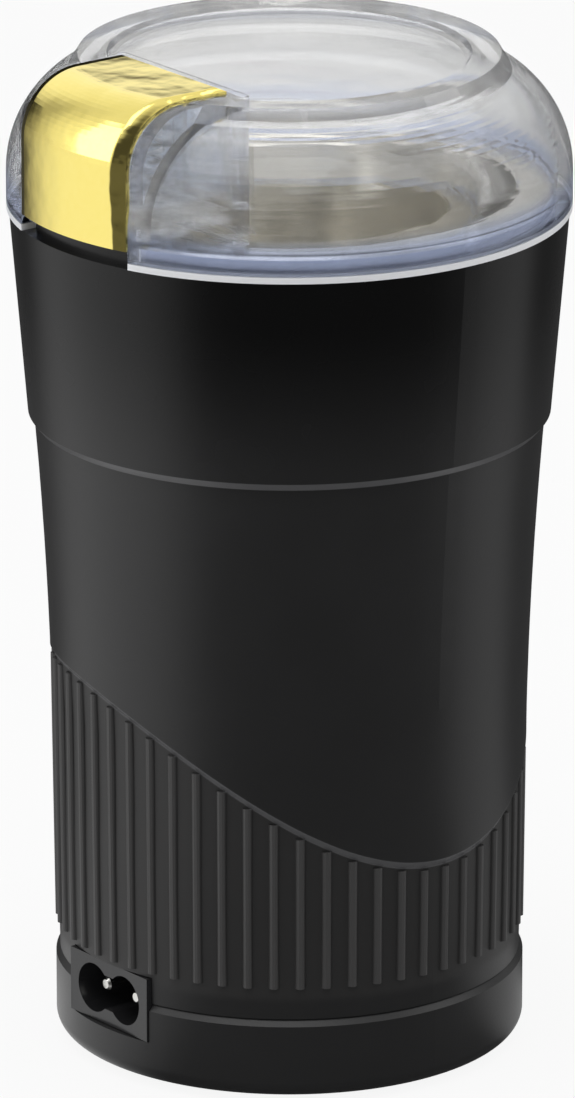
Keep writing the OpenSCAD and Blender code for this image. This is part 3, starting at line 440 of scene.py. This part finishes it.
# %% [markdown]
# The press button is plated in mirror gold. Plating over moulded plastic is never quite flat, so a
# slow ripple is kept under a very small roughness. The button's upright edges are rounded by the
# plating: a bump that falls away towards them turns the mirror there, and a dark line follows each
# edge. The line is wide on the side that faces the clear pocket and thin on the other.

# %% Gold plating
button_low, button_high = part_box("press_button")
BUTTON_HALF, BUTTON_TOP, BUTTON_R = button_high[0], button_high[2], -button_low[1]
plating, place = start_finish("gold_plating")
across = place.part(0)
swell = grain(place, 10 * MM, 2.5, 0.5)
haze = grain(place, 1.2 * MM, 4.0, 0.6)
wander = across + (swell - 0.5) * (2.4 * MM)
falling = (wander.step(BUTTON_HALF - 3.4 * MM, BUTTON_HALF + 1.0 * MM) * 3.4
           + (0 - across).step(BUTTON_HALF - 1.3 * MM, BUTTON_HALF + 0.7 * MM) * 1.2)
set_surface(plating, Base_Color=haze.blend((0.93, 0.77, 0.21, 1), (0.96, 0.81, 0.26, 1)),
            Metallic=1.0, Roughness=0.1 + haze * 0.05,
            Normal=relief(place, swell * 0.28 - falling, 1 * MM))
print("gold plating: button half width", round(BUTTON_HALF / MM, 2), "mm")

# %% [markdown]
# The plating covers the outer skin alone. Behind it the moulding is clear, which is why the pocket
# beside the button looks clear and not gold. The button is one solid with one finish, so the
# shader works out how deep a point lies under the skin, from the button's own outline: an upright
# round wall that turns into a flat top over a large round.

# %% Clear moulding under the gold
BUTTON_ROUND = 11 * MM
outward = (from_shaft(place) - (BUTTON_R - BUTTON_ROUND)).at_least(0.0)
upward = (place.part(2) - (BUTTON_TOP - BUTTON_ROUND)).at_least(0.0)
depth = BUTTON_ROUND - place.calc("SQRT", outward * outward + upward * upward)
moulding = place.node("ShaderNodeBsdfPrincipled")
set_surface(moulding, Base_Color=(0.93, 0.95, 0.98, 1), Transmission_Weight=1.0, IOR=CLEAR_IOR,
            Roughness=0.02)
inside = mix_shaders(moulding, clear_sheet(place, (0.96, 0.97, 0.985, 1)), STRAIGHT_SHARE)
show("gold_plating", mix_shaders(plating, inside, depth.step(0.5 * MM, 0.9 * MM)))
print("gold ends under the skin, round", BUTTON_ROUND / MM, "mm")

# %% [markdown]
# The bowl is drawn and spun from stainless steel, so its polishing lines run round the shaft. Noise
# that is squeezed along Z and stays long round the shaft gives those lines. The same finish on the
# blade reads as the marks of its grinding wheel. Drawing also leaves the bowl's wall a little
# wavy, which bends what it mirrors. The other turned metals differ only in colour and polish.

# %% Spun steel and turned metals
METALS = {
    "stainless": ((0.56, 0.545, 0.5), (0.69, 0.67, 0.62), 0.08, 0.12),
    "plated_steel": ((0.58, 0.58, 0.6), (0.7, 0.7, 0.72), 0.22, 0.14),
    "pin_metal": ((0.66, 0.65, 0.62), (0.76, 0.75, 0.72), 0.14, 0.1),
    "commutator_copper": ((0.62, 0.3, 0.16), (0.76, 0.42, 0.25), 0.24, 0.18),
    "bearing_bronze": ((0.42, 0.27, 0.12), (0.58, 0.4, 0.2), 0.38, 0.2),
}
for name, (dark, light, polish, spread) in METALS.items():
    surface, place = start_finish(name)
    lines = grain(place.stretch(1, 1, 26), 6 * MM, 3.0, 0.6)
    cloud = grain(place, 9 * MM, 3.0)
    height = lines * 0.004
    if name == "stainless":
        height = height + grain(place.stretch(1, 1, 1.6), 17 * MM, 1.0, 0.4) * 0.5
    set_surface(surface, Base_Color=cloud.blend((*dark, 1), (*light, 1)), Metallic=1.0,
                Roughness=polish + lines * spread, Normal=relief(place, height, 1 * MM))
print("spun and turned metals:", ", ".join(METALS))

# %% [markdown]
# Motor cores are stacks of thin steel sheets under varnish. Modelling each sheet would cost many
# faces for an edge that hardly shows, so a wave texture draws a band for each one along the shaft,
# in colour and in relief. A Wave node's bands repeat pi / 10 apart at a scale of 1.

# %% Laminated cores
SHEET_PITCH = 0.6317 * MM
surface, place = start_finish("lamination")
sheets = place.node("ShaderNodeTexWave", {"bands_direction": "Z"},
                    {"Vector": place, "Scale": math.pi / (10 * SHEET_PITCH),
                     "Distortion": 0.2, "Detail": 1.0}, "Fac")
set_surface(surface, Base_Color=sheets.blend((0.1, 0.105, 0.115, 1), (0.24, 0.245, 0.26, 1)),
            Metallic=0.85, Roughness=0.36 + (1 - sheets) * 0.16,
            Normal=relief(place, sheets, 0.05 * MM))
print("laminations:", SHEET_PITCH / MM, "mm apart")

# %% [markdown]
# The coils are plain solids in the model and stand for wound copper wire. Fine slanted bands that
# wander a little read as the turns of that wire, under a coat of clear enamel. A Wave node's
# diagonal bands repeat pi / 5 apart at a scale of 1.

# %% Wound copper
WIRE_PITCH = 1.496 * MM
surface, place = start_finish("copper_wire")
turns = place.node("ShaderNodeTexWave", {"bands_direction": "DIAGONAL"},
                   {"Vector": place.stretch(1, 1, 0.4), "Scale": math.pi / (5 * WIRE_PITCH),
                    "Distortion": 1.2, "Detail": 2.0, "Detail Scale": 1.5}, "Fac")
set_surface(surface, Base_Color=turns.blend((0.28, 0.09, 0.035, 1), (0.62, 0.27, 0.12, 1)),
            Metallic=0.9, Roughness=0.28 + (1 - turns) * 0.2, Coat_Weight=0.4,
            Normal=relief(place, turns, 0.12 * MM))
print("wound copper:", WIRE_PITCH / MM, "mm between turns")

# %% [markdown]
# The motor brackets are die-cast, the brush holders are pressed from phenolic resin and the brushes
# are carbon. Each is a mottled, slightly rough surface, so one loop makes the three, and only the
# colours, the share of metal, the roughness and the size of the lumps differ.

# %% Cast and pressed pieces
PRESSED = {
    "bracket_alloy": ((0.42, 0.43, 0.44), (0.58, 0.59, 0.6), 0.9, 0.42, 1.6),
    "brown_phenolic": ((0.06, 0.022, 0.01), (0.12, 0.05, 0.022), 0.0, 0.4, 1.1),
    "carbon": ((0.018, 0.018, 0.02), (0.045, 0.045, 0.048), 0.1, 0.46, 0.5),
}
for name, (dark, light, metal, rough, lump) in PRESSED.items():
    surface, place = start_finish(name)
    mottle = grain(place, lump * MM, 5.0, 0.65)
    set_surface(surface, Base_Color=mottle.blend((*dark, 1), (*light, 1)), Metallic=metal,
                Roughness=rough - 0.08 + mottle * 0.2, Normal=relief(place, mottle, 0.05 * MM))
print("cast and pressed:", ", ".join(PRESSED))

# %% [markdown]
# The record names a finish for each solid, so the solids take theirs from it. The solids' meshes
# stay as they are, and only their material slots change.

# %% Give each solid its finish
wanted = {row["node"]: row["material_slot"] for row in frame["record"]["subparts"]}
for node_name, solid in nodes.items():
    finish = finishes[wanted[node_name]]
    if solid.data.materials:
        for index in range(len(solid.data.materials)):
            solid.data.materials[index] = finish
    else:
        solid.data.materials.append(finish)
print("finishes in use:", len(set(wanted.values())), "of", len(finishes))

# %% [markdown]
# The return spring under the button is a wound coil. The model holds it as a faceted wire. A
# curve with a bevel could be wound instead, but a mesh made point by point keeps the wire's ends
# flat and needs no conversion: a ring of points is carried along the helix, and neighbouring rings
# are joined with faces. The end turns don't climb, as on a real compression spring.

# %% Wind a coil spring
RINGS_PER_TURN, WIRE_SIDES = 32, 12


def wind_coil(name, centre, axis, length, coil_r, wire_r, turns, flat_turns):
    """A closed wire wound round an axis from a centre point, as one mesh."""
    along = Vector(axis).normalized()
    side = along.orthogonal().normalized()
    other = along.cross(side)
    steps = int(turns * RINGS_PER_TURN)
    spare = turns - 2 * flat_turns
    mesh = bmesh.new()
    rings = []
    for i in range(steps + 1):
        turn = turns * i / steps
        climb = min(max(turn - flat_turns, 0.0), spare) / spare
        angle = 2 * math.pi * turn
        out = side * math.cos(angle) + other * math.sin(angle)
        middle = Vector(centre) + along * (length * climb) + out * coil_r
        rings.append([mesh.verts.new(middle + wire_r * (out * math.cos(t) + along * math.sin(t)))
                      for t in (2 * math.pi * k / WIRE_SIDES for k in range(WIRE_SIDES))])
    for first, second in zip(rings, rings[1:]):
        for k in range(WIRE_SIDES):
            after = (k + 1) % WIRE_SIDES
            mesh.faces.new((first[k], second[k], second[after], first[after]))
    mesh.faces.new(rings[0])
    mesh.faces.new(reversed(rings[-1]))
    bmesh.ops.recalc_face_normals(mesh, faces=mesh.faces)
    for face in mesh.faces:
        face.smooth = True
    data = bpy.data.meshes.new(name)
    mesh.to_mesh(data)
    mesh.free()
    coil = bpy.data.objects.new(name, data)
    bpy.context.collection.objects.link(coil)
    print(name, "turns", turns, "vertices", len(data.vertices))
    return coil


# %% [markdown]
# The spring stands in its pocket in the lid, so it rides on the lid, with its lower end on the
# pocket's floor. The button shortens it from above by its whole travel; the share of its length
# that is left is worked out, but the coil is wound at its full length and not squashed.

# %% Return spring under the button
SPRING_Y, SPRING_R, WIRE_R = -32.2 * MM, 3 * MM, 0.4 * MM
SPRING_TURNS, FLAT_TURNS = 8, 0.9
spring_low, spring_high = (corner[2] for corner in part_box("button_spring"))
spring_length = spring_high - spring_low
button_joint = next(joint for joint in frame["record"]["behaviour"]["joints"]
                    if joint["name"] == "button_press")
travel = button_joint["range_m"][1]
return_coil = wind_coil("return_coil", (0, SPRING_Y, spring_low + WIRE_R), (0, 0, 1),
                        spring_length - 2 * WIRE_R, SPRING_R, WIRE_R, SPRING_TURNS, FLAT_TURNS)
return_coil.data.materials.append(finishes["plated_steel"])
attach(return_coil, "lid")
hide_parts("button_spring")
1 - travel / spring_length
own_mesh(return_coil)
print("return spring squashes by", travel / MM, "mm")

# %% [markdown]
# The grinder is looked at from the right of its button and a little from above. A long lens from
# two metres away keeps its upright sides almost parallel, as in a catalogue picture. A short lens
# close by would widen the lid and narrow the foot.

# %% Camera
CAMERA_ROUND, CAMERA_DOWN, CAMERA_FAR = 52.0, 18.0, 2.0
SENSOR_HEIGHT, LENS = 36.0, 377.0
LOOK_AT = Vector((0, 0, 0.088))


def towards(azimuth, elevation):
    """Unit direction from the grinder, where azimuth 0 is straight in front of the button."""
    a, e = math.radians(azimuth), math.radians(elevation)
    return Vector((math.sin(a) * math.cos(e), -math.cos(a) * math.cos(e), math.sin(e)))


def aim(thing, azimuth, elevation, far):
    """Sets a camera or a lamp at a distance, facing the grinder."""
    thing.location = LOOK_AT + far * towards(azimuth, elevation)
    thing.rotation_euler = (LOOK_AT - thing.location).to_track_quat("-Z", "Y").to_euler()


camera_data = bpy.data.cameras.new("camera")
camera_data.sensor_fit = "VERTICAL"
camera_data.sensor_height = SENSOR_HEIGHT
camera_data.lens = LENS
camera_data.shift_x, camera_data.shift_y = -0.0018, -0.0012
camera_data.clip_start, camera_data.clip_end = 0.05, 50
camera = bpy.data.objects.new("camera", camera_data)
bpy.context.collection.objects.link(camera)
aim(camera, CAMERA_ROUND, CAMERA_DOWN, CAMERA_FAR)
bpy.context.scene.camera = camera
print("camera at", tuple(round(c, 3) for c in camera.location))

# %% [markdown]
# A product shot on white has three soft lights: one large lamp above, and a tall strip on each side
# that draws an upright highlight down the black body. The strips stand nearly at right angles to
# the camera, because a round body shows a lamp where its skin faces halfway between lamp and
# camera. The energy of a lamp is worked out from its size, so a larger lamp is not a brighter one.

# %% Soft lamps
def soft_lamp(name, azimuth, elevation, far, width, height, level):
    """A rectangular lamp that faces the grinder; level is its brightness, where 1 is white."""
    data = bpy.data.lights.new(name, "AREA")
    data.shape = "RECTANGLE"
    data.size = width
    data.size_y = height
    data.energy = level * math.pi * width * height
    lamp = bpy.data.objects.new(name, data)
    bpy.context.collection.objects.link(lamp)
    aim(lamp, azimuth, elevation, far)
    print(name, "brightness", level)


soft_lamp("lamp_above", CAMERA_ROUND - 20, 72, 1.1, 0.9, 0.9, 1.5)
soft_lamp("lamp_left", CAMERA_ROUND - 82, 25, 1.0, 0.5, 0.9, 1.5)
soft_lamp("lamp_right", CAMERA_ROUND + 94, 25, 1.0, 0.35, 0.9, 1.4)

# %% [markdown]
# What a polished piece mirrors decides how it looks: in a room that is white all round, gold and
# steel would look flat and chalky. So they mirror a studio with black cards: bright on the
# button's side, half bright behind on the right, and dim elsewhere. The same pattern is used for
# the room and for the floor, because an upright wall that is seen from above mirrors mostly floor.

# %% The studio that polished pieces mirror
BRIGHT_SIDE, HALF_SIDE = towards(-32, 0), towards(148, 0)
BEHIND = towards(CAMERA_ROUND + 180, 0)
DIM, BRIGHT, HALF = 0.06, 1.0, 0.6


def mirrored_level(direction):
    """How bright the studio looks in a polished piece, from a level direction."""
    dim = DIM * (1 - 0.8 * direction.dot(BEHIND).step(0.0, 0.6))
    return (dim + BRIGHT * direction.dot(BRIGHT_SIDE).step(0.62, 0.97)
            + HALF * direction.dot(HALF_SIDE).step(0.9, 0.99))


print("polished pieces mirror", DIM, "to", DIM + BRIGHT)

# %% [markdown]
# To the camera, and to rays that pass through the clear lid, the room is plain white. Light Path
# tells these rays from mirrored ones. A ray that is bent on its way through clear plastic counts
# both as mirrored and as passing through, so the second takes it out of the first. Light for the
# dull surfaces comes from a plain grey room.

# %% Room
BACK_WALL, CEILING, ROOM_GREY = 1.1, 0.9, 0.55


def ray_kinds(tree):
    """Three signals that are 1 for rays of the camera, mirrored rays and rays passing through."""
    path = tree.nodes.new("ShaderNodeLightPath")
    seen, glossy, through = (Signal(tree, path.outputs[f"Is {kind} Ray"])
                             for kind in ("Camera", "Glossy", "Transmission"))
    return seen, glossy * (1 - through), through


world = bpy.data.worlds.new("room")
world.use_nodes = True
bpy.context.scene.world = world
sky_tree = world.node_tree
direction = Signal(sky_tree, sky_tree.nodes.new("ShaderNodeTexCoord").outputs["Generated"])
level_direction = direction.stretch(1, 1, 0).unit()
up = direction.part(2)
seen, mirrored, through = ray_kinds(sky_tree)
ceiling = up.step(0.35, 0.85)
back_wall = level_direction.dot(BEHIND).step(0.5, 0.9) * up.step(0.2, 0.3)
studio_level = ((mirrored_level(level_direction) + BACK_WALL * back_wall) * (1 - ceiling)
                + CEILING * ceiling)
plain_level = ROOM_GREY + through * (1 - ROOM_GREY)
room_level = (plain_level + (studio_level - plain_level) * mirrored).at_least(seen)
sky = sky_tree.nodes["Background"]
sky.inputs["Color"].default_value = (1, 1, 1, 1)
sky_tree.links.new(room_level.socket, sky.inputs["Strength"])
print("room: white to the camera, grey", ROOM_GREY, "as light")

# %% [markdown]
# The floor is a plain pale sheet. It is part of the studio and not of the grinder, so it is marked
# as stage. The camera sees it almost white, because most of what it shows is its own glow, and the
# rest is the lit sheet, on which the grinder's soft shadow falls. Mirrored rays find the studio's
# pattern on it, as in the room.

# %% Floor sheet
FLOOR_R, RIM_POINTS = 4.0, 96
floor_mesh = bmesh.new()
rim = [floor_mesh.verts.new((FLOOR_R * math.cos(t), FLOOR_R * math.sin(t), 0))
       for t in (2 * math.pi * k / RIM_POINTS for k in range(RIM_POINTS))]
floor_mesh.faces.new(rim)
floor_data = bpy.data.meshes.new("floor")
floor_mesh.to_mesh(floor_data)
floor_mesh.free()
floor = bpy.data.objects.new("floor", floor_data)
bpy.context.collection.objects.link(floor)
floor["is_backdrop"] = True
print("floor radius", FLOOR_R, "m")

# %% Finish of the floor
GLOW_SHARE = 0.9
sheet, place = start_finish("floor_sheet")
paper = grain(place, 40 * MM, 2.0)
set_surface(sheet, Base_Color=paper.blend((0.8, 0.8, 0.8, 1), (0.82, 0.82, 0.82, 1)),
            Roughness=0.9, Specular_IOR_Level=0.1)
seen, mirrored, through = ray_kinds(sheet.tree)
glow_level = seen + through + mirrored * mirrored_level(place.stretch(1, 1, 0).unit())
glow_colour = place.node("ShaderNodeVectorMath", {"operation": "SCALE"},
                         {0: (1, 1, 1), "Scale": glow_level})
glow = place.node("ShaderNodeEmission", {}, {"Color": glow_colour, "Strength": 1.0})
show("floor_sheet", mix_shaders(sheet, glow, (seen + mirrored + through) * GLOW_SHARE))
floor_data.materials.append(finishes["floor_sheet"])
print("floor: share of its own glow", GLOW_SHARE)

# %% [markdown]
# Standard view keeps colours as they are written. The last lines keep the box of the solids and of
# the dressed model side by side, so that a piece that outgrew the solids would show.

# %% Picture settings and the two boxes
bpy.context.scene.view_settings.view_transform = "Standard"
visual_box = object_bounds()


def plain(box):
    """Numbers only, in whatever nesting the box comes."""
    return [plain(part) if hasattr(part, "__len__") else float(part) for part in box]


{"cad": plain(cad_box), "visual": plain(visual_box)}
print("boxes written:", cad_box, visual_box)
